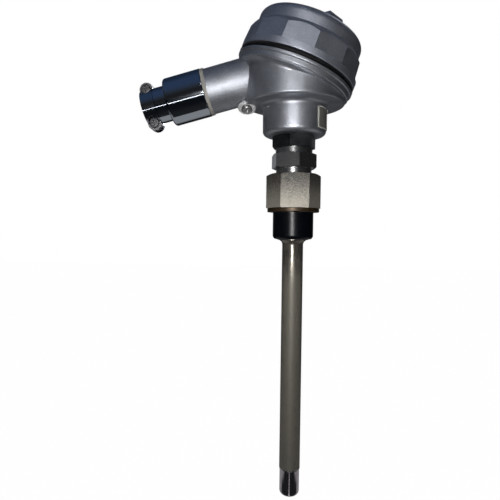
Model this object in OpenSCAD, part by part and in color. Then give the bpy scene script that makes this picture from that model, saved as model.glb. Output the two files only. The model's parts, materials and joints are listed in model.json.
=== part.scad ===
// Resistance thermometer probe: thermowell, spring-loaded insert, terminal head
// with a tilted screw cover, and a side conduit gland with a cable clamp.
// Origin: centre of the sealing face under the fitting's washer. +Z is up.

/* [Thermowell] */
// Length of the probe below the sealing face
insertion_l = 219.5; // [150:0.5:400]
// Outside diameter of the protecting tube
stem_d = 16; // [14:0.5:18]
// Bore of the protecting tube
well_bore_d = 10; // [9.5:0.1:10.8]
// Length of the welded tip plug
tip_l = 21.4; // [14:0.1:30]
// Outside diameter of the tip plug
tip_d = 15.3; // [13.5:0.1:16]
// Corner radius at the end of the tip plug
tip_round = 3.6; // [2:0.1:4]
// Outside diameter of the process thread
thread_d = 26.4; // [25:0.1:28]
// Length of the process thread below the sealing face
thread_l = 18; // [14:1:24]
// Diameter of the plain land under the thread
land_d = 23.4; // [21:0.1:24]
// Length of the plain land under the thread
land_l = 3; // [2:0.5:6]
// Fillet radius from the land to the tube
well_fillet = 3.7; // [2:0.1:5]
// Hexagon of the thermowell, across its flats
well_hex_af = 36; // [33:1:38]
// Height of the thermowell hexagon
well_hex_h = 25.7; // [22:0.1:34]
// Turn of the thermowell hexagon about the stem
well_hex_turn = 3.4; // [0:0.1:60]
// Thickness of the sealing washer
washer_t = 3; // [1.5:0.5:4]
// Outside diameter of the sealing washer
washer_d = 39.5; // [36:0.5:41]
// Outside diameter of the slip-on thread protector
protector_d = 30.9; // [30:0.1:33]
// Corner radius at the lower end of the thread protector
protector_round = 3; // [1:0.1:3.2]

/* [Neck] */
// Diameter of the thread that joins the well, the nipple and the head
neck_thread_d = 20.9; // [19:0.1:22]
// Depth of the nipple's thread inside the thermowell
neck_thread_l = 15; // [12:1:18]
// Cable passage through the nipple
neck_bore_d = 12; // [11:0.5:14]
// Diameter of the nipple's plain shoulder
shoulder_d = 27; // [25:0.5:29]
// Height of the nipple's plain shoulder
shoulder_h = 4; // [2:0.5:8]
// Hexagon of the nipple, across its flats
nipple_hex_af = 30.8; // [29:0.1:34]
// Height of the nipple's hexagon
nipple_hex_h = 11.4; // [9:0.1:16]
// Turn of the nipple's hexagon about the stem
nipple_hex_turn = -17.3; // [-30:0.1:30]
// Height of the turned land on top of the nipple's hexagon
nipple_land_h = 3.8; // [1:0.1:5]
// Hexagon of the lock nut, across its flats
locknut_af = 30; // [29:0.1:34]
// Height of the lock nut
locknut_h = 9.6; // [9:0.1:16]
// Turn of the lock nut's hexagon about the stem
locknut_turn = 20; // [-30:0.1:60]

/* [Head] */
// Diameter of the head's collar
collar_d = 48; // [46:0.5:52]
// Height of the head's collar
collar_h = 22.6; // [20:0.1:30]
// Corner radius at the foot of the collar
collar_round = 3.6; // [2:0.1:5]
// Step in from the flange's edge to the bowl
bowl_step = 7.5; // [6:0.1:8.5]
// Wall thickness of the bowl
bowl_wall = 4.2; // [3.5:0.1:5]
// Floor thickness of the bowl
floor_t = 4.3; // [3.5:0.1:6]
// Corner radius round the underside of the bowl
bowl_round = 1.6; // [1:0.1:5]
// Fillet radius between the bowl's underside and the collar
collar_fillet = 3.2; // [1:0.1:5]
// Height of the rim's centre above the underside of the bowl
rim_rise = 26.3; // [25:0.1:32]
// Tilt of the rim and the cover away from the conduit
cover_tilt = 20.6; // [16:0.1:22]
// Offset of the rim's centre from the stem, away from the conduit
rim_shift = 1.1; // [0:0.1:2]
// Outside diameter of the head's flange
flange_d = 90.4; // [88.5:0.1:92]
// Step in from the flange's edge to the threaded neck under the cover
mouth_step = 5.7; // [5:0.1:6.5]
// Height of the threaded neck above the flange
mouth_h = 12; // [9:0.5:14]
// Wall thickness of the threaded neck
mouth_wall = 4.5; // [4:0.1:5.5]
// Outside diameter of the conduit boss
boss_d = 34.4; // [34:0.1:38]
// Distance from the stem to the end of the conduit boss
boss_reach = 67.8; // [64:0.1:76]
// Slope of the conduit below the horizontal
conduit_drop = 14.8; // [10:0.1:18]
// Height of the conduit's axis on the stem above the underside of the bowl
conduit_rise = 29.4; // [28:0.1:33]

/* [Cover] */
// Inset of the cover's lip from the flange's edge
cover_inset = 0.2; // [-0.5:0.1:1]
// Height of the cover's lip
lip_h = 5.2; // [2:0.1:6]
// Height of the cover's faceted band at its corners, above the rim
band_h = 15.5; // [12:0.1:18]
// Height where the sloping shoulder meets the crown, above the rim
shoulder_top = 21.5; // [20:0.1:24]
// Number of flats round the cover
flat_count = 12; // [10:1:16]
// Turn of the flats about the cover's axis
flat_turn = 28; // [0:0.5:30]
// Draft of the flats
flat_draft = 5; // [1:0.5:6]
// Step in from the cover's lip to its crown
crown_step = 4.8; // [3.5:0.1:5.5]
// Height of the crown above the rim
crown_h = 32.8; // [28:0.1:35]
// Corner radius of the crown
crown_round = 6; // [3:0.5:8]
// Wall thickness of the cover
cover_wall = 3; // [2.5:0.1:3.4]
// Height of the grip bar on the crown
grip_h = 7.8; // [4:0.5:10]
// Slope of the grip bar's ends
grip_slope = 3; // [1:0.5:8]
// Width of the grip bar
grip_w = 12; // [8:0.5:18]
// Length of the grip bar
grip_l = 55; // [40:1:62]
// Turn of the grip bar about the cover's axis
grip_turn = 127; // [0:1:180]
// Thickness of the O-ring under the cover
seal_t = 2.6; // [2.2:0.1:3]

/* [Conduit gland] */
// Thickness of the washer between the boss and the gland
gland_washer_t = 2.4; // [1.5:0.1:3]
// Outside diameter of the gland's washer
gland_washer_d = 35.8; // [35:0.1:38]
// Outside diameter of the gland's body
gland_d = 36.4; // [35:0.1:40]
// Length of the gland's body
gland_l = 29.8; // [28:0.1:36]
// Bore of the gland's chamber
chamber_d = 29.2; // [28:0.1:31]
// Diameter of the cable passage
cable_d = 15; // [12:0.5:16]
// Length of the rubber packing
packing_l = 10.5; // [7:0.5:12]
// Outside diameter of the gland nut's neck
nut_neck_d = 27.2; // [25:0.1:28]
// Length of the gland nut's neck
nut_neck_l = 9; // [8:0.1:14]
// Length of the cable clamp
clamp_l = 10.4; // [10:0.1:14]
// Distance of the clamp's screws from the cable's axis
clamp_screw_x = 13.2; // [12.5:0.1:14]
// Radius of the clamp's ears
ear_r = 5.4; // [4.5:0.1:6]

/* [Insert] */
// Outside diameter of the insert's sheath
sheath_d = 8; // [6:0.5:8.4]
// Wall of the insert's sheath
sheath_wall = 1; // [0.6:0.1:1.4]
// Diameter of the ceramic terminal block
block_d = 46; // [44:0.5:50]
// Height of the terminal block
block_h = 11; // [9:0.5:14]
// Distance of the spring screws and bars from the block's edge
screw_edge = 6.5; // [5.5:0.1:8]
// Travel of the spring-loaded insert
insert_travel = 5; // [3:0.5:6]
// Length of the sensing element
element_l = 25; // [15:1:40]

/* [Hidden] */
$fn = 96;

eps = 0.01;            // overlap of a cutting tool past the face that it cuts
big = 200;             // size of a half-space block
run_gap = 0.3;         // clearance between parts that move past each other
thread_gap = 0.05;     // radial clearance of a made-up thread
seat_gap = 0.3;        // gap under a sprung or slipped-on part at rest

// heights up the stem
well_hex_z = washer_t;
shoulder_z = well_hex_z + well_hex_h;
nipple_hex_z = shoulder_z + shoulder_h;
locknut_z = nipple_hex_z + nipple_hex_h + nipple_land_h;
collar_z = locknut_z + locknut_h;
bowl_z = collar_z + collar_h;
floor_z = bowl_z + floor_t;
rim_z = bowl_z + rim_rise;
conduit_z = bowl_z + conduit_rise;
tip_z = tip_l - insertion_l;
land_z = -thread_l - land_l;
// top of the nipple's thread inside the collar
nipple_top_z = bowl_z - 4;
nipple_land_d = nipple_hex_af - 2.8;
chamfer_tan = tan(22);

// head and cover, stepped in from the flange
bowl_d = flange_d - 2 * bowl_step;
mouth_d = flange_d - 2 * mouth_step;
cover_d = flange_d - 2 * cover_inset;
crown_d = cover_d - 2 * crown_step;
bowl_bore_d = bowl_d - 2 * bowl_wall;
mouth_bore_d = mouth_d - 2 * mouth_wall;
flange_t = 3.6;        // thickness of the flange's top ring
flange_step = 1.2;     // each step inwards under the flange
flange_low = -9.6;     // height of the flange's lowest step, from the rim
seal_seat = -1.9;      // top face of the flange, from the rim
conduit_thread_d = 26.4;
insert_hole_d = 16;    // hole in the bowl's floor round the insert

// cover
thread_clear_d = mouth_d + 2 * run_gap;
thread_clear_h = mouth_h + 3;
seal_top = seal_seat + seal_t;

// gland, distances along the conduit from the stem
gland_s = boss_reach + gland_washer_t;
gland_end_s = gland_s + gland_l;
chamber_s = gland_s + 7;
spigot_l = 14;         // thread of the gland inside the boss
ring_t = 1.5;          // thickness of the two steel rings round the packing
packing_s = chamber_s + ring_t;
push_s = packing_s + packing_l + run_gap;
nut_s = push_s + ring_t + run_gap;
clamp_s = gland_end_s + nut_neck_l;
ear_s = clamp_s + clamp_l / 2;
ear_t = 4;             // thickness of each clamp ear
split_gap = 1.6;       // gap between the clamp's halves
screw_d = 4;           // all M4 screws

// insert
plate_t = 1.6;         // thickness of the insert's flange
plate_z = floor_z + seat_gap;
block_z = plate_z + plate_t;
screw_pitch = block_d - 2 * screw_edge;
block_top = block_z + block_h;
sheath_end_z = -insertion_l + 8;
sheath_r = sheath_d / 2;
core_r = sheath_r - sheath_wall;
well_floor_z = sheath_end_z - seat_gap;
terminal_turns = [35, 145, 215, 325];
wire_d = 1.2;
wire_r = 1.6;          // distance of each lead from the insert's axis
wire_bend = 2.4;       // radius of each lead's bend
bar_screw_d = 3;
bar_w = 7;
bar_t = 1.6;
bar_in = 7;            // radius of a terminal bar's inner end
bar_edge = 3;           // distance of a terminal bar from the edge of the block
bar_l = block_d / 2 - bar_in - bar_edge;
bar_z = block_top - 2.6;
bar_screw_x = 3.2;     // distance of each terminal screw from its bar's end
spring_d = 7;
spring_wire = 0.9;
spring_hole_d = spring_d + 2.4;
spring_turns = 6;
coil_sides = 8;
coil_steps = 12;        // rings in each turn of a spring
spring_z = block_z + 0.2;
spring_l = insert_travel + 8;
coil_pitch = (spring_l - spring_wire) / spring_turns;
block_screw_x = block_d / 2 - 5;     // screws that hold the block to its flange
block_screw_seat = block_h - 5;

// ---- helpers ----

// The convex corner at p is rounded off: q gives the side that the material is on
module round_off(p, r, q) {
    translate(p) mirror([q[0] < 0 ? 1 : 0, 0]) mirror([0, q[1] < 0 ? 1 : 0])
        difference() {
            translate([-1, -1]) square(r + 1);
            translate([r, r]) circle(r);
        }
}

// The hollow corner at p is filled: q gives the side that is open
module fill_in(p, r, q) {
    translate(p) mirror([q[0] < 0 ? 1 : 0, 0]) mirror([0, q[1] < 0 ? 1 : 0])
        difference() {
            translate([-eps, -eps]) square(r + eps);
            translate([r, r]) circle(r);
        }
}

// A hexagon bar from z to z + h, chamfered at its ends
module hex_bar(af, z, h, turn, top = true, foot = true) {
    corner_r = af / sqrt(3);
    flat_r = af / 2 - 0.2;
    drop = (corner_r - flat_r) * chamfer_tan;
    rotate([0, 0, turn]) intersection() {
        translate([0, 0, z]) cylinder(r = corner_r, h = h, $fn = 6);
        rotate([0, 0, 12]) rotate_extrude() polygon([
            [0, z],
            [foot ? flat_r : corner_r + 1, z],
            [corner_r + (foot ? 0 : 1), z + (foot ? drop : 0)],
            [corner_r + (top ? 0 : 1), z + h - (top ? drop : 0)],
            [top ? flat_r : corner_r + 1, z + h],
            [0, z + h]]);
    }
}

module tube(od, id, h) {
    difference() {
        cylinder(d = od, h = h);
        translate([0, 0, -eps]) cylinder(d = id, h = h + 2 * eps);
    }
}

// The cover's frame: on the rim's centre, +Z out along the cover's axis
module on_rim(v = 0) {
    translate([rim_shift, 0, rim_z]) rotate([0, cover_tilt, 0]) translate([0, 0, v]) children();
}

// The outer earth terminal's frame: its face on z = 0, +Z into the head
module on_earth(v = 0) {
    translate([earth_x, earth_y, earth_z]) rotate([-earth_lean, 0, 0]) translate([0, 0, v]) children();
}

// The conduit's frame: +Z out along the conduit, +X up, starting s from the stem
module on_conduit(s = 0) {
    translate([0, 0, conduit_z]) rotate([0, -90 - conduit_drop, 0]) translate([0, 0, s]) children();
}

// A round-headed screw with a cross slot, its head on z = 0 and its shank below
module pan_screw(d, l) {
    head_d = 2 * d;
    head_h = 0.62 * d;
    difference() {
        union() {
            translate([0, 0, -l]) cylinder(d = d, h = l);
            rotate_extrude() difference() {
                square([head_d / 2, head_h]);
                round_off([head_d / 2, head_h], 0.4 * d, [-1, -1]);
            }
        }
        for (a = [0, 90]) rotate([0, 0, a])
            translate([-head_d * 0.3, -d * 0.1, head_h * 0.45]) cube([head_d * 0.6, d * 0.2, head_h]);
    }
}

// ---- thermowell ----

module thermowell() color("darkkhaki") difference() {
    union() {
        hex_bar(well_hex_af, well_hex_z, well_hex_h, well_hex_turn, foot = false);
        rotate_extrude() difference() {
            union() {
                translate([0, -thread_l]) square([thread_d / 2, thread_l + well_hex_z + 1]);
                translate([0, land_z]) square([land_d / 2, land_l + 1]);
                translate([0, tip_z]) square([stem_d / 2, land_z - tip_z + 1]);
                fill_in([stem_d / 2, land_z], well_fillet, [1, -1]);
            }
            round_off([thread_d / 2, -thread_l], 1, [-1, 1]);
        }
    }
    translate([0, 0, tip_z - 1]) cylinder(d = well_bore_d, h = shoulder_z - tip_z + 2);
    translate([0, 0, shoulder_z - neck_thread_l])
        cylinder(d = neck_thread_d + 2 * thread_gap, h = neck_thread_l + 1);
}

module well_tip() color("dimgray") difference() {
    rotate_extrude() difference() {
        translate([0, -insertion_l]) square([tip_d / 2, tip_l]);
        round_off([tip_d / 2, -insertion_l], tip_round, [-1, 1]);
    }
    translate([0, 0, well_floor_z]) cylinder(d = well_bore_d, h = tip_z - well_floor_z + 1);
}

module sealing_washer() color("saddlebrown")
    rotate_extrude() difference() {
        translate([thread_d / 2 + thread_gap, 0]) square([(washer_d - thread_d) / 2 - thread_gap, washer_t]);
        round_off([washer_d / 2, washer_t], 0.5, [-1, -1]);
        round_off([washer_d / 2, 0], 0.5, [-1, 1]);
    }

module thread_protector() color("black")
    rotate_extrude() difference() {
        foot = land_z + 0.4;
        translate([land_d / 2 + run_gap, foot])
            square([(protector_d - land_d) / 2 - run_gap, -seat_gap - foot]);
        translate([0, -thread_l - run_gap]) square([thread_d / 2 + run_gap, thread_l + 1]);
        round_off([protector_d / 2, foot], protector_round, [-1, 1]);
    }

// ---- neck ----

module neck_nipple() color("gray") difference() {
    union() {
        hex_bar(nipple_hex_af, nipple_hex_z, nipple_hex_h, nipple_hex_turn);
        translate([0, 0, shoulder_z]) cylinder(d = shoulder_d, h = shoulder_h + 1);
        translate([0, 0, nipple_hex_z + 1])
            cylinder(d = nipple_land_d, h = nipple_hex_h + nipple_land_h - 1);
        translate([0, 0, shoulder_z - neck_thread_l + 1])
            cylinder(d = neck_thread_d, h = nipple_top_z - shoulder_z + neck_thread_l - 1);
    }
    translate([0, 0, shoulder_z - neck_thread_l]) cylinder(d = neck_bore_d, h = big);
}

module neck_locknut() color("darkslategray") difference() {
    hex_bar(locknut_af, locknut_z, locknut_h, locknut_turn);
    translate([0, 0, locknut_z - 1]) cylinder(d = neck_thread_d + 2 * thread_gap, h = locknut_h + 2);
}

// ---- head ----

// The flange and the threaded neck, as one profile round the cover's axis
module rim_profile() {
    flange_r = flange_d / 2;
    difference() {
        union() {
            translate([0, seal_seat - flange_t]) square([flange_r, flange_t]);
            translate([0, seal_seat - 2 * flange_t]) square([flange_r - flange_step, flange_t + 1]);
            translate([0, flange_low]) square([flange_r - 2 * flange_step, seal_seat - flange_low]);
            translate([0, seal_seat - 1]) square([mouth_d / 2, mouth_h - seal_seat + 1]);
            fill_in([mouth_d / 2 - 2, flange_low], 3, [1, -1]);
        }
        round_off([flange_r, seal_seat - flange_t], 1, [-1, 1]);
        round_off([flange_r - flange_step, seal_seat - 2 * flange_t], 0.8, [-1, 1]);
        round_off([mouth_d / 2, mouth_h], 1, [-1, -1]);
    }
}

module bowl_profile() difference() {
    union() {
        translate([0, collar_z]) square([collar_d / 2, collar_h + 1]);
        translate([0, bowl_z]) square([bowl_d / 2, big / 3]);
        fill_in([collar_d / 2, bowl_z], collar_fillet, [1, -1]);
    }
    round_off([collar_d / 2, collar_z], collar_round, [-1, 1]);
    round_off([bowl_d / 2, bowl_z], bowl_round, [-1, 1]);
}

earth_x = -bowl_d / 2 + 1.5;   // outer earth terminal, under the conduit boss
earth_y = -2;
earth_z = bowl_z - 0.6;        // face that the outer earth washers sit on
earth_lean = 26;               // lean of the earth terminal towards the front
earth_boss_d = 14.4;
earth_cup_d = 13.6;            // dished washer that traps the earth wire
earth_cup_t = 1.8;
pad_d = 9;                     // cast pads on the bowl's floor
pad_h = 3;
inner_earth_turn = 64.4;       // inner earth terminal, on the floor beside the terminal block
inner_earth_r = block_d / 2 + screw_d + seat_gap + 0.4;
inner_earth = inner_earth_r * [cos(inner_earth_turn), sin(inner_earth_turn)];

module head_body() color("silver") difference() {
    union() {
        intersection() {
            rotate_extrude() bowl_profile();
            on_rim(-big) cylinder(d = flange_d, h = big + seal_seat - 1);
        }
        on_rim() rotate_extrude() rim_profile();
        on_conduit(18) cylinder(d = boss_d, h = boss_reach - 18);
        on_earth() cylinder(d = earth_boss_d, h = 7);
    }
    // the bowl, the tilted mouth and the passage of the conduit
    difference() {
        intersection() {
            translate([0, 0, floor_z]) cylinder(d = bowl_bore_d, h = big);
            on_rim(-big) cylinder(d = big, h = big - 2);
        }
        translate([inner_earth[0], inner_earth[1], floor_z - 1]) cylinder(d = pad_d, h = pad_h + 1);
    }
    on_rim(-2.5) cylinder(d = mouth_bore_d, h = big);
    on_conduit(20) cylinder(d = conduit_thread_d, h = boss_reach);
    // the thread for the nipple, and the way up for the insert
    translate([0, 0, collar_z - 1])
        cylinder(d = neck_thread_d + 2 * thread_gap, h = nipple_top_z - collar_z + 1);
    translate([0, 0, collar_z]) cylinder(d = insert_hole_d, h = floor_z - collar_z + 1);
    // screw holes
    for (s = [-1, 1]) translate([0, s * screw_pitch / 2, bowl_z - 3]) cylinder(d = screw_d, h = floor_t + 4);
    on_earth(-1) cylinder(d = screw_d, h = 6.5);
    on_earth(-4) cylinder(d = earth_cup_d + seat_gap, h = 4);
    translate([inner_earth[0], inner_earth[1], floor_z - 2]) cylinder(d = screw_d, h = pad_h + 3);
}

plate_h = 16.6;                  // blank name plate, bent round the collar
plate_w = 15.5;
plate_rise = 2.8;               // height of the plate's foot above the collar's
plate_thick = 0.5;
plate_turn = -28;
plate_corner = 1.5;

module nameplate() color("tan") translate([0, 0, collar_z + plate_rise]) rotate([0, 0, plate_turn]) intersection() {
    tube(collar_d + 2 * plate_thick, collar_d, plate_h);
    translate([collar_d / 4, 0, plate_h / 2]) rotate([0, 90, 0]) linear_extrude(height = collar_d / 2)
        difference() {
            square([plate_h, plate_w], center = true);
            for (x = [-1, 1], y = [-1, 1])
                round_off([x * plate_h / 2, y * plate_w / 2], plate_corner, [-x, -y]);
        }
}

// A dished washer with a flat bottom, its rim turned down round the screw's head
module earth_washers() color("lightgray") on_earth(-earth_cup_t) rotate_extrude() difference() {
    translate([screw_d / 2 + 0.1, 0]) square([earth_cup_d / 2 - screw_d / 2 - 0.1, earth_cup_t]);
    polygon([[0, -1], [screw_d + 1.3, -1], [screw_d + 0.5, earth_cup_t - 1], [0, earth_cup_t - 1]]);
    round_off([earth_cup_d / 2, 0], 1, [-1, 1]);
}

module earth_screw() color("gainsboro")
    on_earth(-1) rotate([180, 0, 0]) pan_screw(screw_d, 6);

module inner_earth_screw() color("gainsboro")
    translate([inner_earth[0], inner_earth[1], floor_z + pad_h]) pan_screw(screw_d, pad_h + 1);

// ---- cover ----

module cover_outer() {
    cover_r = cover_d / 2;
    crown_r = crown_d / 2;
    difference() {
        rotate_extrude() difference() {
            polygon([[0, run_gap], [cover_r, run_gap], [cover_r, band_h],
                [crown_r, shoulder_top], [crown_r, crown_h], [0, crown_h]]);
            round_off([cover_r, run_gap], 0.8, [-1, 1]);
            round_off([crown_r, crown_h], crown_round, [-1, -1]);
        }
        for (i = [0 : flat_count - 1]) rotate([0, 0, flat_turn + i * 360 / flat_count])
            translate([cover_r * cos(180 / flat_count), -cover_r / 2, lip_h])
                rotate([0, -flat_draft, 0]) cube([10, cover_r, crown_h]);
    }
}

// The grip bar's side view: ends that slope in, corners rounded
module grip_outline() difference() {
    polygon([[-grip_l / 2, 0], [grip_l / 2, 0],
        [grip_l / 2 - grip_slope, grip_h], [grip_slope - grip_l / 2, grip_h]]);
    for (s = [-1, 1]) round_off([s * (grip_l / 2 - grip_slope), grip_h], 1.5, [-s, -1]);
}

module grip_bar() intersection() {
    translate([0, grip_w / 2, crown_h - 2]) rotate([90, 0, 0]) linear_extrude(height = grip_w) union() {
        translate([0, 2]) grip_outline();
        translate([-grip_l / 2, 0]) square([grip_l, 2 + eps]);
    }
    translate([0, 0, crown_h - 3]) cylinder(d = grip_l, h = grip_h + 4);
}

module cover() color("slategray") on_rim() difference() {
    union() {
        cover_outer();
        rotate([0, 0, grip_turn]) grip_bar();
    }
    translate([0, 0, -1]) cylinder(r = mouth_d / 2 + seal_t + run_gap, h = 1 + seal_top + run_gap);
    translate([0, 0, -1]) cylinder(d = thread_clear_d, h = thread_clear_h + 1);
    translate([0, 0, -1]) cylinder(d = crown_d - 2 * cover_wall, h = crown_h + 1 - cover_wall);
}

module cover_seal() color("black") on_rim(seal_seat + seal_t / 2)
    rotate_extrude() translate([mouth_d / 2 + seal_t / 2, 0]) circle(d = seal_t, $fn = 32);

// ---- conduit gland ----

module gland_washer() color("wheat") on_conduit(boss_reach)
    tube(gland_washer_d, conduit_thread_d + 0.2, gland_washer_t);

module gland_body() color("lightsteelblue") difference() {
    union() {
        on_conduit(gland_s) rotate_extrude() difference() {
            square([gland_d / 2, gland_l]);
            round_off([gland_d / 2, gland_l], 2, [-1, -1]);
            round_off([gland_d / 2, 0], 0.8, [-1, 1]);
        }
        on_conduit(boss_reach - spigot_l)
            cylinder(d = conduit_thread_d - 2 * thread_gap, h = spigot_l + gland_washer_t + 1);
    }
    on_conduit(boss_reach - spigot_l - 1) cylinder(d = cable_d + 2, h = big / 2);
    on_conduit(chamber_s) cylinder(d = chamber_d, h = gland_l);
}

module gland_inner_ring() color("silver") on_conduit(chamber_s)
    tube(chamber_d - 2 * thread_gap, cable_d, ring_t);

module gland_packing() color("black") on_conduit(packing_s)
    tube(chamber_d - 2 * thread_gap, cable_d, packing_l);

module gland_push_ring() color("silver") on_conduit(push_s)
    tube(chamber_d - 2 * run_gap, cable_d, ring_t);

// One half of the clamp's outline, seen along the clamp's screws
module clamp_outline() {
    square([nut_neck_d, clamp_l], center = true);
    for (s = [-1, 1]) translate([s * clamp_screw_x, 0]) circle(ear_r);
}

// Half of the clamp: the side of the cable that it lies on is +1 or -1
module clamp_half(side) {
    difference() {
        union() {
            intersection() {
                cylinder(d = nut_neck_d, h = clamp_l, center = true);
                translate([0, side * (big / 2 + split_gap / 2), 0]) cube(big, center = true);
            }
            translate([0, side * (split_gap + ear_t) / 2, 0]) rotate([90, 0, 0])
                linear_extrude(height = ear_t, center = true) clamp_outline();
        }
        cylinder(d = cable_d, h = 2 * clamp_l, center = true);
    }
}

module gland_nut() color("lightsteelblue") difference() {
    union() {
        on_conduit(nut_s) cylinder(d = chamber_d - 2 * run_gap, h = gland_end_s - nut_s - 2);
        on_conduit(nut_s) cylinder(d = nut_neck_d, h = clamp_s - nut_s);
        on_conduit(ear_s) clamp_half(1);
    }
    on_conduit(nut_s - 1) cylinder(d = cable_d, h = big / 2);
    for (s = [-1, 1]) on_conduit(ear_s) translate([s * clamp_screw_x, 0, 0])
        rotate([90, 0, 0]) cylinder(d = screw_d + 2 * run_gap, h = big, center = true);
}

module clamp_saddle() color("lightsteelblue") difference() {
    on_conduit(ear_s) clamp_half(-1);
    on_conduit(clamp_s - 2) cylinder(d = big, h = 2 + run_gap);
    for (s = [-1, 1]) on_conduit(ear_s) translate([s * clamp_screw_x, 0, 0]) rotate([90, 0, 0]) {
        cylinder(d = screw_d + 2 * thread_gap, h = big, center = true);
        translate([0, 0, split_gap / 2 + ear_t]) cylinder(d = 2 * screw_d + 2 * run_gap, h = big);
    }
}

module clamp_screws() color("gainsboro")
    for (s = [-1, 1]) on_conduit(ear_s) translate([s * clamp_screw_x, -split_gap / 2 - ear_t, 0])
        rotate([90, 0, 0]) pan_screw(screw_d, ear_t * 2 + split_gap);

// ---- insert ----

module insert_sheath() color("lightgray") difference() {
    union() {
        translate([0, 0, sheath_end_z + sheath_r])
            cylinder(r = sheath_r, h = block_z - sheath_end_z - sheath_r);
        translate([0, 0, sheath_end_z + sheath_r]) sphere(r = sheath_r);
    }
    translate([0, 0, sheath_end_z + sheath_r]) cylinder(r = core_r, h = big * 3);
}

core_z = sheath_end_z + sheath_r + element_l;

module sensing_element() color("white")
    translate([0, 0, sheath_end_z + sheath_r]) cylinder(r = core_r, h = element_l);

module sheath_filling() color("ivory") difference() {
    translate([0, 0, core_z]) cylinder(r = core_r, h = block_z - core_z);
    for (a = terminal_turns) rotate([0, 0, a]) translate([wire_r, 0, core_z - 1])
        cylinder(d = wire_d, h = block_z - core_z + 2);
}

// Each lead rises along the insert, bends outwards and ends under a terminal screw
module lead_wires() color("firebrick")
    for (a = terminal_turns) rotate([0, 0, a]) {
        run_z = bar_z + bar_t + wire_d / 2;
        bend_x = wire_r + wire_bend;
        translate([wire_r, 0, core_z]) cylinder(d = wire_d, h = run_z - wire_bend - core_z);
        translate([bend_x, 0, run_z - wire_bend]) rotate([90, 0, 0]) rotate([0, 0, 90])
            rotate_extrude(angle = 90) translate([wire_bend, 0]) circle(d = wire_d, $fn = 24);
        translate([bend_x, 0, run_z]) rotate([0, 90, 0])
            cylinder(d = wire_d, h = bar_in + bar_screw_x - bar_screw_d / 2 - run_gap - bend_x);
    }

module insert_flange() color("lightgray") difference() {
    translate([0, 0, plate_z]) cylinder(d = block_d, h = plate_t);
    translate([0, 0, plate_z - 1]) cylinder(d = sheath_d, h = plate_t + 2);
    for (s = [-1, 1]) {
        translate([0, s * screw_pitch / 2, plate_z - 1])
            cylinder(d = screw_d + 2 * run_gap, h = plate_t + 2);
        translate([s * block_screw_x, 0, plate_z - 1]) cylinder(d = 3, h = plate_t + 2);
    }
}

module terminal_block() color("whitesmoke") difference() {
    translate([0, 0, block_z]) cylinder(d = block_d, h = block_h);
    translate([0, 0, block_z - 1]) cylinder(d = 9, h = block_h + 2);
    for (s = [-1, 1]) translate([0, s * screw_pitch / 2, block_z - 1])
        cylinder(d = spring_hole_d, h = block_h + 2);
    for (s = [-1, 1]) translate([s * block_screw_x, 0, block_z]) {
        translate([0, 0, -1]) cylinder(d = 3, h = block_h + 2);
        translate([0, 0, block_screw_seat]) cylinder(d = 7, h = block_h);
    }
    for (a = terminal_turns) rotate([0, 0, a])
        translate([2, -bar_w / 2 - 0.2, bar_z]) cube([block_d, bar_w + 0.4, block_h]);
    for (a = terminal_turns, x = [bar_screw_x, bar_l - bar_screw_x]) rotate([0, 0, a])
        translate([bar_in + x, 0, bar_z - 2]) cylinder(d = bar_screw_d, h = 3);
}

module terminal_bars() color("goldenrod")
    for (a = terminal_turns) rotate([0, 0, a]) difference() {
        translate([bar_in, -bar_w / 2, bar_z]) cube([bar_l, bar_w, bar_t]);
        for (x = [bar_screw_x, bar_l - bar_screw_x]) translate([bar_in + x, 0, bar_z - 1])
            cylinder(d = bar_screw_d, h = bar_t + 2);
    }

module terminal_screws() color("gainsboro")
    for (a = terminal_turns) rotate([0, 0, a])
        for (x = [bar_screw_x, bar_l - bar_screw_x])
            translate([bar_in + x, 0, bar_z + bar_t + (x == bar_screw_x ? wire_d : 0)])
                pan_screw(bar_screw_d, bar_t + (x == bar_screw_x ? wire_d : 0) + 1.5);

module block_screws() color("silver")
    for (s = [-1, 1]) translate([s * block_screw_x, 0, block_z + block_screw_seat])
        pan_screw(bar_screw_d, block_screw_seat + plate_t);

module spring_screws() color("gainsboro")
    for (s = [-1, 1]) translate([0, s * screw_pitch / 2, spring_z + spring_l])
        pan_screw(screw_d, spring_l + plate_t + 4);

// A coil's ring of points at turn t: the wire's section, square to the coil's path
function coil_ring(t) = [for (i = [0 : coil_sides - 1])
    let (a = 360 * i / coil_sides, r = (spring_d - spring_wire) / 2 + spring_wire / 2 * cos(a))
    [r * cos(360 * t), r * sin(360 * t), spring_wire / 2 * (1 + sin(a)) + t * coil_pitch]];

module coil() {
    n = coil_sides;
    rings = spring_turns * coil_steps;
    polyhedron(
        points = [for (k = [0 : rings]) each coil_ring(k / coil_steps)],
        faces = concat(
            [[for (i = [0 : n - 1]) i]],
            [for (k = [0 : rings - 1], i = [0 : n - 1])
                let (j = (i + 1) % n) [k * n + i, (k + 1) * n + i, (k + 1) * n + j, k * n + j]],
            [[for (i = [n - 1 : -1 : 0]) rings * n + i]]));
}

module insert_springs() color("gray")
    for (s = [-1, 1]) translate([0, s * screw_pitch / 2, spring_z]) coil();

thermowell();
well_tip();
sealing_washer();
thread_protector();
neck_nipple();
neck_locknut();
head_body();
nameplate();
earth_screw();
earth_washers();
inner_earth_screw();
cover();
cover_seal();
gland_washer();
gland_body();
gland_inner_ring();
gland_packing();
gland_push_ring();
gland_nut();
clamp_saddle();
clamp_screws();
insert_sheath();
sheath_filling();
sensing_element();
lead_wires();
insert_flange();
terminal_block();
terminal_bars();
terminal_screws();
block_screws();
spring_screws();
insert_springs();
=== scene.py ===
import bpy, bmesh, json, math
import numpy as np
from mathutils import Matrix, Vector


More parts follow.
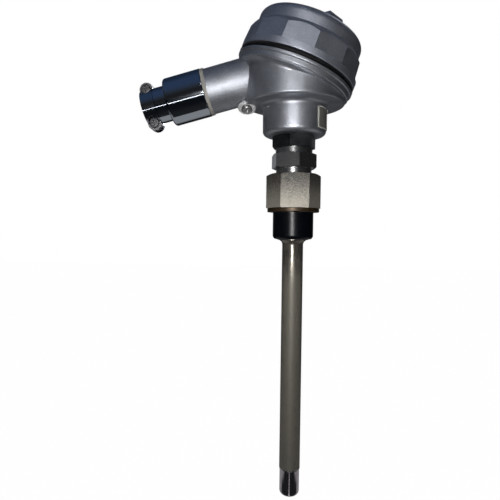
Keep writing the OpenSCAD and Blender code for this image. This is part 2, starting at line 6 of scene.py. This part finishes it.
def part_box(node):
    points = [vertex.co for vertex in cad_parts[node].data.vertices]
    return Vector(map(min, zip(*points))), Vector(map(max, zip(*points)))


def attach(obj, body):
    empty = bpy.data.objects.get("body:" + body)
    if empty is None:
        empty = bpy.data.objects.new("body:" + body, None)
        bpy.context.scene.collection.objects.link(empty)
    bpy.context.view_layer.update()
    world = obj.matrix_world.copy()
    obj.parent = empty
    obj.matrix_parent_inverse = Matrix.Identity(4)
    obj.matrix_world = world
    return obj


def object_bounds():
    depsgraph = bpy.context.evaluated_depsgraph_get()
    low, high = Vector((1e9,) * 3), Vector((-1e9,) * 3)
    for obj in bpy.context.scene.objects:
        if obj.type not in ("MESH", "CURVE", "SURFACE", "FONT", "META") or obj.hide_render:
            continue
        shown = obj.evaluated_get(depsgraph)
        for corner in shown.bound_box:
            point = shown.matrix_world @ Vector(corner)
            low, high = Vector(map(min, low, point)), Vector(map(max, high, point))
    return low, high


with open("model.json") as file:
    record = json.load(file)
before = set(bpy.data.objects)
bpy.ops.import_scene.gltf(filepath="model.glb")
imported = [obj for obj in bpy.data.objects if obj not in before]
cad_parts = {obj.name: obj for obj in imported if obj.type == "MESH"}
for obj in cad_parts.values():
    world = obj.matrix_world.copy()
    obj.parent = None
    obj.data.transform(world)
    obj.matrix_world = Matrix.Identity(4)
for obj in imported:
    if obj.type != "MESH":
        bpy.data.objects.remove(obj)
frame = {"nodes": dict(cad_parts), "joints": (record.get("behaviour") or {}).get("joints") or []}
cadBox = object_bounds()
nodes = frame["nodes"]
joints = {joint["name"]: joint for joint in frame["joints"]}
mm = 0.001   # sizes are metres in the pieces and millimetres in the finishes
print("frame loaded:", len(nodes), "nodes")

cameraSet = {
    "lens": 34.52, "sensor": 36,   # millimetres
    "nearest": 0.01,
    "distance": 0.3671,            # from the lens to the stem's axis
    "sideStep": 0.0330,            # how far the stem stands right of the view's axis
    "heightStep": 0.0288,          # how far the sealing face stands above it
    "roll": 0.65, "lean": 2.2, "turn": 5.02,   # degrees
}


def placeCamera(c):
    # in the view the object is turned about Z, leant about X and rolled about Y: the camera gets the inverse
    turned = Matrix.Rotation(math.radians(-c["turn"]), 3, "Z")
    leant = Matrix.Rotation(math.radians(c["lean"]), 3, "X")
    rolled = Matrix.Rotation(math.radians(c["roll"]), 3, "Y")
    back = (rolled @ leant @ turned).transposed()
    lookAlongY = Matrix(((1, 0, 0), (0, 0, -1), (0, 1, 0)))
    data = bpy.data.cameras.new("viewCamera")
    data.sensor_fit, data.sensor_width, data.lens = "HORIZONTAL", c["sensor"], c["lens"]
    data.clip_start = c["nearest"]
    camera = bpy.data.objects.new("viewCamera", data)
    bpy.context.scene.collection.objects.link(camera)
    place = (back @ lookAlongY).to_4x4()
    place.translation = -(back @ Vector((c["sideStep"], c["distance"], c["heightStep"])))
    camera.matrix_world = place
    bpy.context.scene.camera = camera


placeCamera(cameraSet)

lightSet = {
    "ceilingColour": (0.50, 0.86, 1.64),    # a cool ceiling
    "roomColour": (0.97, 0.99, 1.04),       # and neutral walls
    "ceiling": 0.060,                       # the ceiling's level on the object
    "walls": 0.0155,                        # the walls' level
    "farShare": 0.3,                        # how much of the ceiling's level is left behind the object
    "leftShare": 0.75,                      # how much brighter the room's left side is
    "backdrop": 0.22,                       # how much of the white backdrop metal shows
    # name, place, aim, width, height, spread in degrees, watts
    "lamps": [("keySoftbox", (-0.045, -0.60, -0.01), (0.0, 0.0, -0.01), 0.07, 0.08, 66, 0.42),
              ("topSoftbox", (-0.10, -0.50, 0.36), (0.0, 0.0, 0.12), 0.10, 0.08, 50, 0.013),
              ("backSoftbox", (0.045, 0.65, 0.30), (0.0, 0.0, 0.03), 0.14, 0.20, 80, 0.30),
              ("highSoftbox", (0.30, 0.35, 0.62), (0.0, 0.0, 0.13), 0.20, 0.20, 40, 0.014),
              ("lowStrip", (-0.15, -0.55, -0.13), (-0.08, 0.0, 0.09), 0.80, 0.012, 120, 0.10)],
}


def addLamp(name, place, aim, width, height, spread, watts):
    data = bpy.data.lights.new(name, "AREA")
    data.shape, data.size, data.size_y, data.energy = "RECTANGLE", width, height, watts
    data.spread = math.radians(spread)
    lamp = bpy.data.objects.new(name, data)
    lamp.location = place
    lamp.rotation_euler = (Vector(aim) - Vector(place)).to_track_quat("-Z", "Y").to_euler()
    bpy.context.scene.collection.objects.link(lamp)


for row in lightSet["lamps"]:
    addLamp(*row)


class Wire:
    # a socket whose arithmetic adds Math nodes, also where the number comes first
    def __init__(self, kit, socket):
        self.kit, self.socket = kit, socket

    def maths(self, operation, *values):
        return self.kit.node("ShaderNodeMath", {"operation": operation}, dict(enumerate(values)))

    def __add__(self, other): return self.maths("ADD", self, other)
    def __radd__(self, other): return self.maths("ADD", other, self)
    def __sub__(self, other): return self.maths("SUBTRACT", self, other)
    def __rsub__(self, other): return self.maths("SUBTRACT", other, self)
    def __mul__(self, other): return self.maths("MULTIPLY", self, other)
    def __rmul__(self, other): return self.maths("MULTIPLY", other, self)
    def __abs__(self): return self.maths("ABSOLUTE", self)

    def steps(self, low, high):   # 0 below low, 1 above high, smooth between
        return self.kit.node("ShaderNodeMapRange", {"interpolation_type": "SMOOTHSTEP"},
                             {0: self, 1: low, 2: high, 3: 0.0, 4: 1.0})


class Kit:
    # builds the nodes of one material, or of the world
    def __init__(self, tree):
        self.tree = tree
        tree.nodes.clear()

    def node(self, kind, settings=None, sockets=None, out=0):
        made = self.tree.nodes.new(kind)
        for key, value in (settings or {}).items():
            setattr(made, key, value)
        for key, value in (sockets or {}).items():
            if isinstance(value, Wire):
                self.tree.links.new(value.socket, made.inputs[key])
            elif isinstance(value, tuple) and len(value) == 3 and made.inputs[key].type == "RGBA":
                made.inputs[key].default_value = (*value, 1)
            else:
                made.inputs[key].default_value = value
        return Wire(self, made.outputs[out])

    def vector(self, operation, first, second=None, out=0):
        sockets = {0: first} if second is None else {0: first, 1: second}
        return self.node("ShaderNodeVectorMath", {"operation": operation}, sockets, out)

    def blend(self, factor, first, second):   # two colours by a factor
        return self.node("ShaderNodeMix", {"data_type": "RGBA"}, {0: factor, 6: first, 7: second}, 2)

    def places(self, stretch=(1, 1, 1)):      # Object coordinates in millimetres, stretched
        here = self.node("ShaderNodeTexCoord", out=3)
        return self.vector("MULTIPLY", here, tuple(s / mm for s in stretch))

    def along(self, axis):                    # millimetres along X, Y or Z
        return self.node("ShaderNodeSeparateXYZ", None, {0: self.places()}, "XYZ".index(axis))

    def placesFrom(self, point):
        return self.vector("SUBTRACT", self.places(), tuple(c / mm for c in point))

    def height(self, point, way):             # millimetres along a direction from a point
        return self.vector("DOT_PRODUCT", self.placesFrom(point), tuple(way), "Value")

    def reach(self, point, way):              # millimetres from the line through a point
        across = self.vector("CROSS_PRODUCT", self.placesFrom(point), tuple(way))
        return self.vector("LENGTH", across, out="Value")

    def noise(self, scale, detail=2.0, stretch=(1, 1, 1), rough=0.5):
        sockets = {"Vector": self.places(stretch), "Scale": scale, "Detail": detail, "Roughness": rough}
        return self.node("ShaderNodeTexNoise", None, sockets)

    def bump(self, height, strength, depth, before=None):   # depth in millimetres
        sockets = {"Height": height, "Strength": strength, "Distance": depth * mm}
        if before:
            sockets["Normal"] = before
        return self.node("ShaderNodeBump", None, sockets)


def material(name, **fixed):
    # a Principled material: fixed numbers go on the shader's own sockets
    made = bpy.data.materials.new(name)
    made.use_nodes = True
    kit = Kit(made.node_tree)
    shader = made.node_tree.nodes.new("ShaderNodeBsdfPrincipled")
    output = made.node_tree.nodes.new("ShaderNodeOutputMaterial")
    made.node_tree.links.new(shader.outputs[0], output.inputs[0])
    kit.shader, kit.output = shader, output

    def wire(**sockets):
        for key, value in sockets.items():
            socket = shader.inputs[key.replace("_", " ")]
            if isinstance(value, Wire):
                made.node_tree.links.new(value.socket, socket)
            else:
                socket.default_value = (*value, 1) if isinstance(value, tuple) and len(value) == 3 else value
        return made
    kit.wire = wire
    wire(**fixed)
    return kit


def makeWorld(s):
    world = bpy.data.worlds.new("studio")
    bpy.context.scene.world = world
    world.use_nodes = True
    kit = Kit(world.node_tree)
    seen, glossy, through = (kit.node("ShaderNodeLightPath", out=i) for i in (0, 3, 6))
    way = kit.node("ShaderNodeTexCoord", out=0)
    across, back, height = (kit.node("ShaderNodeSeparateXYZ", None, {0: way}, i) for i in range(3))
    up = height.steps(0.1, 0.75)
    room = s["walls"] + (s["ceiling"] - s["walls"]) * up * (1 - (1 - s["farShare"]) * back.steps(-0.3, 0.4))
    room = room * (1 - s["leftShare"] * across)
    behind = back.steps(0.78, 0.92) * (glossy + through) * s["backdrop"]   # where metal mirrors the backdrop
    strength = seen + (1 - seen) * (room + behind)
    tint = kit.blend(seen, kit.blend(up, s["roomColour"], s["ceilingColour"]), (1.0, 1.0, 1.0))
    sky = kit.node("ShaderNodeBackground", None, {0: tint, 1: strength})
    output = world.node_tree.nodes.new("ShaderNodeOutputWorld")
    world.node_tree.links.new(sky.socket, output.inputs[0])


makeWorld(lightSet)
bpy.context.scene.view_settings.view_transform = "Standard"


def meshObject(name, points, faces, smooth=True):
    mesh = bpy.data.meshes.new(name)
    mesh.from_pydata(np.asarray(points, float).reshape(-1, 3).tolist(), [], [list(face) for face in faces])
    mesh.validate()
    mesh.polygons.foreach_set("use_smooth", np.full(len(mesh.polygons), smooth))
    made = bpy.data.objects.new(name, mesh)
    bpy.context.scene.collection.objects.link(made)
    return made


def gridFaces(rows, columns, loopRows=False):
    # quads between neighbours of a rows x columns grid of points, whose columns close on themselves
    row = np.arange(rows if loopRows else rows - 1)[:, None]
    column = np.arange(columns)[None, :]
    here, above = row * columns, (row + 1) % rows * columns
    following = (column + 1) % columns
    return np.stack([here + column, here + following, above + following, above + column], -1).reshape(-1, 4)


def outward(piece):
    # the faces of a closed piece are turned to point outwards
    shape = bmesh.new()
    shape.from_mesh(piece.data)
    bmesh.ops.recalc_face_normals(shape, faces=shape.faces)
    shape.to_mesh(piece.data)
    shape.free()


floorSet = {
    "colour": (0.85, 0.85, 0.85),
    "half": 3.0,                     # metres from the middle to each side
    "below": 0.035,                  # room under the stem for the protector when it is drawn off
    "white": 0.992,                  # how much of the plain white the camera sees
    "paintedReflectionLevel": 0.38,                # how brightly metal mirrors the floor's painted reflection glow
    "paintedLineGain": 2.4,                 # and its glowing line, a painted highlight
    "front": -66, "path": 100, "line": 2.8,   # millimetres: start of the pale part of the painted reflection, half widths
    "fade": (300, 600),              # millimetres from the stem
}


def makeFloor(s):
    low, h = cadBox[0].z - s["below"], s["half"]
    corners = [(-h, -h, low), (h, -h, low), (h, h, low), (-h, h, low)]
    floor = meshObject("studioFloor", corners, [(0, 1, 2, 3)], False)
    kit = material("floorPaint", Base_Color=s["colour"], Roughness=0.9)
    seen, glossy, through = (kit.node("ShaderNodeLightPath", out=i) for i in (0, 3, 6))
    # a painted reflection: for reflected rays the floor glows pale below and behind the part, dark in front of
    # it, with a dark path from its foot to the front and a brighter glowing line along that, which metal shows
    # as a highlight
    x, y = kit.along("X"), kit.along("Y")
    path = (1 - abs(x).steps(s["path"] - 12, s["path"] + 12)) * (1 - y.steps(-5, 15))
    line = (1 - abs(x).steps(s["line"], 2 * s["line"])) * (1 - y.steps(-20, -8))
    paintedReflection = y.steps(s["front"] - 6, s["front"] + 6) * (1 - path) + path * line * s["paintedLineGain"]
    paintedReflection = paintedReflection * (1 - kit.reach((0, 0, 0), (0, 0, 1)).steps(*s["fade"])) * s["paintedReflectionLevel"]
    # the floor glows here though it is no lamp, so that metal shows this painted reflection
    reflectionGlow = kit.node("ShaderNodeEmission", None, {0: (1.0, 1.0, 1.0), 1: seen + (1 - seen) * paintedReflection})
    paint = Wire(kit, kit.shader.outputs[0])
    plain = seen * s["white"] + (glossy + through) * 0.9
    mix = kit.node("ShaderNodeMixShader", None, {0: plain, 1: paint, 2: reflectionGlow})
    kit.tree.links.new(mix.socket, kit.output.inputs[0])
    floor.data.materials.append(kit.wire())


makeFloor(floorSet)
print("camera, lights and floor ready")

# the cover turns about the rim's axis and the gland nut about the conduit's; places along the conduit are
# measured from where its axis meets the stem's
rimUp, rimCentre = joints["cover_turn"]["axis"], joints["cover_turn"]["pos_m"]
conduitOut, conduitPoint = joints["gland_unscrew"]["axis"], joints["gland_unscrew"]["pos_m"]
conduitStart = (0.0, 0.0, conduitPoint[2] - conduitPoint[0] * conduitOut[2] / conduitOut[0])


def onRim(v):   # the point v metres up the rim's axis
    return tuple(c + v * u for c, u in zip(rimCentre, rimUp))


ridgeSet = {
    "height": 0.00024,
    "flank": 0.42, "crest": 0.07,    # half widths of its foot and of its crest, as shares of the pitch
    "perTurn": 60,                   # points along each turn
}
processRidgeSet = {"start": (0, 0, -0.0172), "axis": (0, 0, 1),
                   "radius": 0.0132, "pitch": 0.001814, "length": 0.0160}
mouthRidgeSet = {"start": onRim(0.0035), "axis": rimUp,
                 "radius": 0.0395, "pitch": 0.003, "length": 0.0078}


def makeThreadRidge(name, s, section):
    # a screw ridge: its section (root, crest, crest, root, buried back) is carried along a helix, whose point
    # at turn t is start + axis * pitch * t + radius * (cos 2 pi t, sin 2 pi t); it fades out at both ends
    axis = np.asarray(s["axis"], float) / np.linalg.norm(s["axis"])
    side = np.cross(axis, (0.0, 1.0, 0.0))
    side /= np.linalg.norm(side)
    other = np.cross(axis, side)
    turns = s["length"] / s["pitch"] - 1
    t = np.linspace(0, turns, int(turns * section["perTurn"]) + 1)[:, None]
    fade = np.clip(np.minimum(t, turns - t) * 2, 0.02, 1)
    flank, crest = section["flank"], section["crest"]
    across = np.array([-flank, -crest, crest, flank, 0.0])[None] * s["pitch"]
    out = np.array([-0.05, 1.0, 1.0, -0.05, -0.5])[None] * section["height"] * fade
    reach = (s["radius"] + out)[..., None]
    turn = 2 * np.pi * t
    spin = np.cos(turn)[..., None] * side + np.sin(turn)[..., None] * other
    points = np.asarray(s["start"]) + (s["pitch"] * (t + 0.5) + across)[..., None] * axis + reach * spin
    rows, columns = points.shape[:2]
    faces = gridFaces(rows, columns).tolist()
    faces.append(list(range(columns)))
    faces.append([(rows - 1) * columns + i for i in reversed(range(columns))])
    ridge = meshObject(name, points, faces)
    outward(ridge)
    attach(ridge, "head")
    return ridge


beadSet = {
    "z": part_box("well_tip")[1].z,    # where the tip meets the stem
    "radius": 0.00764, "proud": 0.00036, "half": 0.0011,
    "foot": 0.0002,                  # how much deeper its hidden side lies
    "wander": 0.00010,               # how far it strays along the stem
    "ripples": 46, "perRipple": 8, "round": 12,   # and the points along each ripple and round the bead
}


def makeWeldBead(s):
    # a bead of section (cos v, sin v) round the stem; each ripple leans along the weld, so its height
    # follows a skewed wave of the angle, and the bead's centre wanders a little
    turn = np.linspace(0, 2 * np.pi, s["ripples"] * s["perRipple"], endpoint=False)[:, None]
    around = np.linspace(0, 2 * np.pi, s["round"], endpoint=False)[None]
    lean = s["ripples"] * turn + 1.4 * np.sin(around)
    proud = s["proud"] * (0.86 + 0.14 * np.sin(lean + 0.5 * np.sin(lean)))
    reach = s["radius"] + (proud + s["foot"] * (np.cos(around) < 0)) * np.cos(around)
    height = s["z"] + s["wander"] * np.sin(3 * turn + 1)
    height = height + s["half"] * np.sin(around) * (1 + 0.05 * np.sin(lean))
    points = np.stack([reach * np.cos(turn), reach * np.sin(turn), height], -1)
    bead = meshObject("tipWeldBead", points, gridFaces(*points.shape[:2], True))
    outward(bead)
    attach(bead, "head")
    return bead


plateSet = {
    "turn": -28,                     # degrees round the collar
    "radius": 0.0245, "width": 0.0155, "corner": 0.0015,
    "border": 0.0009, "inset": 0.0003, "proud": 0.00022,
    "perCorner": 9, "perSide": 6,    # points
}


def makePlateBorder(s):
    # the raised border of the name plate: a rounded rectangle's path, whose point (w, h) lands on the
    # plate at (sqrt(radius^2 - w^2), w, h), with a flat-topped section across it
    bottom, top = (corner.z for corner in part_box("nameplate"))
    corners = np.array([(1, 1), (-1, 1), (-1, -1), (1, -1)])
    angle = np.radians(np.arange(4)[:, None] * 90 + np.linspace(0, 90, s["perCorner"])[None])
    inner = np.array([s["width"], top - bottom]) / 2 - s["inset"] - s["corner"]
    centre = (corners * inner)[:, None].repeat(s["perCorner"], 1)
    ray = np.stack([np.cos(angle), np.sin(angle)], -1)
    centre, ray = centre.reshape(-1, 2), ray.reshape(-1, 2)
    # more points along the straight sides, so that they follow the collar
    count = len(centre)
    share = np.linspace(0, 1, s["perSide"], endpoint=False)[None, :, None]
    following = (np.arange(count) + 1) % count
    centre = (centre[:, None] * (1 - share) + centre[following][:, None] * share).reshape(-1, 2)
    ray = (ray[:, None] * (1 - share) + ray[following][:, None] * share).reshape(-1, 2)
    across = np.array([0.0, 0.12, 0.88, 1.0, 1.0, 0.0])[None] * s["border"]
    lift = np.array([0.0, 1.0, 1.0, 0.0, -0.6, -0.6])[None] * s["proud"]
    flat = centre[:, None] + ray[:, None] * (s["corner"] - across)[..., None]
    reach = np.sqrt(s["radius"] ** 2 - flat[..., 0] ** 2) + lift
    spin = math.radians(s["turn"])
    x = reach * math.cos(spin) - flat[..., 0] * math.sin(spin)
    y = reach * math.sin(spin) + flat[..., 0] * math.cos(spin)
    points = np.stack([x, y, (bottom + top) / 2 + flat[..., 1]], -1)
    border = meshObject("nameplateBorder", points, gridFaces(*points.shape[:2], True), False)
    outward(border)
    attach(border, "head")
    return border


pieces = {
    "tipWeldBead": makeWeldBead(beadSet),
    "nameplateBorder": makePlateBorder(plateSet),
    "processThreadRidge": makeThreadRidge("processThreadRidge", processRidgeSet, ridgeSet),
    "mouthThreadRidge": makeThreadRidge("mouthThreadRidge", mouthRidgeSet, ridgeSet),
}
print("pieces made:", len(pieces))

# where finishes change, in millimetres: the black band of painted shade beside the cover's seal, the boss that
# holds the gland, the thermowell and the clamp
sealGapShadeSet = {"full": 0.7, "end": 1.0, "inside": (40, 41), "colour": (0.008, 0.008, 0.009)}
bossSet = {"start": (26, 31), "side": (17.5, 20)}
# hexagonPaintedLight: millimetres over which the hexagon's painted highlight fades out from its foot upwards
wellSet = {"hexagon": (0.5, 2), "hexagonPaintedLight": (2, 30), "dull": (26, 62)}
clampSet = {"barrel": (13.7, 14.1)}


def castPaint(name, colour, dark, rough, coat, edge):
    # sprayed silver-grey paint over a casting: flakes in the colour, orange peel and slow waves in the
    # surface, and a black band of painted shade beside the cover's seal gap, where edge is its height along
    # the rim's axis
    kit = material(name, Metallic=0.9, Coat_Weight=coat, Coat_Roughness=0.25)
    slow, flakes = kit.noise(0.07, 3), kit.noise(0.9, 2)
    tone = kit.blend(slow.steps(0.35, 0.7), dark, colour)
    tone = kit.blend(flakes.steps(0.52, 0.68) * 0.22, tone, tuple(min(1, 1.5 * c) for c in colour))
    # painted shade: a black band where the seal gap's shade falls on the cover's and the flange's edges
    up, full, end = kit.height(onRim(edge * mm), rimUp), sealGapShadeSet["full"], sealGapShadeSet["end"]
    gapShade = up.steps(-end, -full) * (1 - up.steps(full, end))
    gapShade = gapShade * kit.reach(rimCentre, rimUp).steps(*sealGapShadeSet["inside"])
    tone = kit.blend(gapShade, tone, sealGapShadeSet["colour"])
    boss = kit.height(conduitStart, conduitOut).steps(*bossSet["start"])
    boss = boss * (1 - kit.reach(conduitStart, conduitOut).steps(*bossSet["side"]))
    grain = kit.noise(0.8, 3, rough=0.75)
    peel = kit.bump(grain * (1 + boss * 0.6), 0.8, 0.15)
    patches = (kit.noise(0.5, 3) - 0.5) * 0.16
    return kit.wire(Base_Color=tone, Roughness=rough + patches + gapShade * 0.3 + boss * 0.09,
                    Normal=kit.bump(kit.noise(0.22, 2), 0.35, 0.12, peel))


def steel(name, colour, dark, rough, streak=(1, 1, 0.04), depth=0.012, metal=1.0, vary=0.3):
    # machined steel: fine streaks along one direction, slow stains
    kit = material(name, Metallic=metal)
    lines, stains = kit.noise(1.2, 4, streak, 0.65), kit.noise(0.12, 3)
    tone = kit.blend(lines.steps(0.3, 0.7) * 0.6 + stains.steps(0.4, 0.7) * 0.4, dark, colour)
    return kit.wire(Base_Color=tone, Roughness=rough + ((lines - 0.5) + (stains - 0.5) * 0.7) * vary,
                    Normal=kit.bump(lines, 0.5, depth))


def wellSteel(name, colour, dark, dulled):
    # the turned well: the hexagon is speckled and, by a painted highlight, lighter towards its foot; the stem
    # is bright at its top and dulls to a flat grey-brown further down
    kit = material(name, Specular_IOR_Level=0.3)
    up = kit.along("Z")
    hexagon, foot = up.steps(*wellSet["hexagon"]), (0 - up).steps(*wellSet["dull"])
    lines, stains = kit.noise(1.3, 4, (1, 1, 0.05), 0.65), kit.noise(0.12, 3)
    speckle = kit.noise(1.4, 3, rough=0.7)
    streaks = lines.steps(0.3, 0.7) * 0.5 + stains.steps(0.4, 0.7) * 0.4
    # painted highlight: besides its speckle, the hexagon's colour is made lighter towards its foot
    speckleAndPaintedLight = speckle.steps(0.42, 0.62) * 0.5 + 0.9 * (1 - up.steps(*wellSet["hexagonPaintedLight"])) - 0.18
    speckleAndPaintedLightTone = kit.blend(speckleAndPaintedLight, tuple(0.42 * c for c in dark), tuple(1.3 * c for c in colour))
    tone = kit.blend(hexagon, kit.blend(streaks, dark, colour), speckleAndPaintedLightTone)
    tone = kit.blend(foot * (0.6 + 0.4 * stains.steps(0.35, 0.6)), tone, dulled)
    relief = lines * (1 - hexagon) * 0.4 + speckle * hexagon * 2.4
    return kit.wire(Base_Color=tone, Metallic=0.72 - 0.47 * foot - 0.50 * hexagon,
                    Roughness=0.24 + (lines - 0.5) * 0.2 + foot * 0.26 + hexagon * 0.24,
                    Normal=kit.bump(relief, 0.5, 0.05))


def turned(name, colour, rough, groove):
    # bright turned metal: marks round the axis draw each highlight out along it
    kit = material(name, Metallic=1.0, Anisotropic=groove)
    rings, waves = kit.noise(3.0, 2, (0.03, 0.03, 1)), kit.noise(0.3, 2)
    tone = kit.blend(waves.steps(0.35, 0.7) * 0.5, colour, tuple(0.6 * c for c in colour))
    return kit.wire(Base_Color=tone, Roughness=rough + (rings - 0.5) * 0.1, Normal=kit.bump(waves, 0.2, 0.03))


def clampMetal(name, colour, ear):
    # plated barrel with dull cast ears, told apart by the distance from the conduit's axis
    kit = material(name)
    dull = kit.reach(conduitStart, conduitOut).steps(*clampSet["barrel"])
    grain = kit.noise(1.2, 3)
    tone = kit.blend(dull, colour, kit.blend(grain.steps(0.35, 0.7), tuple(0.6 * c for c in ear), ear))
    return kit.wire(Base_Color=tone, Metallic=1 - 0.45 * dull, Roughness=0.10 + 0.42 * dull,
                    Normal=kit.bump(grain, 0.3, 0.02))


def polymer(name, colour, rough, coat=0.0, grain=1.6, depth=0.03, shine=0.5):
    # moulded plastic, rubber or fibre: fine grain and a faint change of tone
    kit = material(name, Coat_Weight=coat, Coat_Roughness=0.12, Specular_IOR_Level=shine)
    soft = kit.noise(0.15, 2)
    tone = kit.blend(soft.steps(0.3, 0.7), tuple(0.82 * c for c in colour), colour)
    return kit.wire(Base_Color=tone, Roughness=rough + (kit.noise(0.6, 3) - 0.5) * 0.16,
                    Normal=kit.bump(kit.noise(grain, 2), 0.4, depth))


def plated(name, colour, rough):
    # bright plating: faint polishing waves and fine scratches
    kit = material(name, Metallic=1.0)
    scratch, waves = kit.noise(2.5, 3, (0.08, 1, 0.9), 0.7), kit.noise(0.25, 1)
    tone = kit.blend(scratch.steps(0.45, 0.75) * 0.4, colour, tuple(0.75 * c for c in colour))
    return kit.wire(Base_Color=tone, Roughness=rough + scratch.steps(0.5, 0.8) * 0.04,
                    Normal=kit.bump(waves, 0.3, 0.05))


finishes = {
    "thermowell": wellSteel("turnedStainless", (0.235, 0.215, 0.18), (0.085, 0.077, 0.066),
                            (0.135, 0.124, 0.10)),
    "well_tip": turned("polishedTip", (0.50, 0.46, 0.50), 0.12, 0.3),
    "sealing_washer": steel("bronzeWasher", (0.06, 0.036, 0.016), (0.03, 0.018, 0.009), 0.42, (1, 1, 0.5),
                            metal=0.6),
    "thread_protector": polymer("blackSleeve", (0.002, 0.0025, 0.004), 0.30, shine=0.12),
    "neck_nipple": steel("nippleSteel", (0.62, 0.62, 0.62), (0.54, 0.54, 0.54), 0.20, (1, 1, 0.3),
                         depth=0.002, metal=0.98, vary=0.05),
    "neck_locknut": steel("blackOxide", (0.11, 0.12, 0.12), (0.05, 0.055, 0.058), 0.40, (1, 1, 1)),
    "head_body": castPaint("headPaint", (0.44, 0.452, 0.487), (0.33, 0.342, 0.372), 0.43, 0.03, -2.4),
    "cover": castPaint("coverPaint", (0.47, 0.49, 0.55), (0.38, 0.40, 0.455), 0.46, 0.03, -0.5),
    "nameplate": steel("etchedPlate", (0.18, 0.172, 0.152), (0.11, 0.105, 0.094), 0.5, (1, 1, 1), metal=0.15),
    "zinc": steel("zincPlate", (0.55, 0.55, 0.53), (0.34, 0.34, 0.34), 0.36, (1, 1, 1)),
    "earth_washers": steel("paleZinc", (0.80, 0.80, 0.78), (0.62, 0.62, 0.61), 0.45, (1, 1, 1), metal=0.4),
    "clamp_screws": steel("darkScrew", (0.15, 0.145, 0.15), (0.11, 0.106, 0.11), 0.52, (1, 1, 1),
                          depth=0.003, metal=0.5, vary=0.08),
    "rubber": polymer("blackRubber", (0.006, 0.006, 0.007), 0.6),
    "gland_washer": polymer("creamFibre", (0.36, 0.34, 0.30), 0.60, 0, 2.5, 0.05),
    "chrome": plated("nickelChrome", (0.50, 0.54, 0.60), 0.06),
    "clamp_saddle": clampMetal("clampMetal", (0.42, 0.45, 0.50), (0.29, 0.28, 0.295)),
    "ring": steel("ringSteel", (0.50, 0.50, 0.50), (0.30, 0.30, 0.30), 0.36, (1, 1, 1)),
    "sheath": steel("drawnSheath", (0.48, 0.47, 0.45), (0.28, 0.27, 0.26), 0.32),
    "oxide": polymer("pressedOxide", (0.85, 0.83, 0.77), 0.85),
    "ceramic": polymer("glazedCeramic", (0.80, 0.78, 0.72), 0.22, 0.4, 0.8, 0.02),
    "lead_wires": polymer("redSleeve", (0.50, 0.045, 0.04), 0.45),
    "terminal_bars": steel("brassBar", (0.72, 0.52, 0.22), (0.48, 0.33, 0.13), 0.30, (1, 1, 1)),
    "insert_springs": steel("springWire", (0.34, 0.34, 0.35), (0.18, 0.18, 0.19), 0.30, (1, 1, 1)),
    "plateRim": steel("plateRim", (0.62, 0.61, 0.55), (0.46, 0.45, 0.41), 0.5, (1, 1, 1), metal=0.15),
}

# finishes that several nodes share
shared = {
    "zinc": ["earth_screw", "inner_earth_screw", "terminal_screws", "block_screws", "spring_screws"],
    "rubber": ["cover_seal", "gland_packing"],
    "chrome": ["gland_body", "gland_nut"],
    "ring": ["gland_inner_ring", "gland_push_ring"],
    "sheath": ["insert_sheath", "insert_flange"],
    "oxide": ["sheath_filling"],
    "ceramic": ["terminal_block", "sensing_element"],
}
for finish, names in shared.items():
    for name in names:
        finishes[name] = finishes[finish]
for name, node in nodes.items():
    node.data.materials.clear()
    node.data.materials.append(finishes[name])
pieceFinishes = {"tipWeldBead": "well_tip", "nameplateBorder": "plateRim",
                 "processThreadRidge": "thermowell", "mouthThreadRidge": "head_body"}
for name, finish in pieceFinishes.items():
    pieces[name].data.materials.append(finishes[finish])
print("finishes on", len(nodes), "nodes and", len(pieces), "pieces")
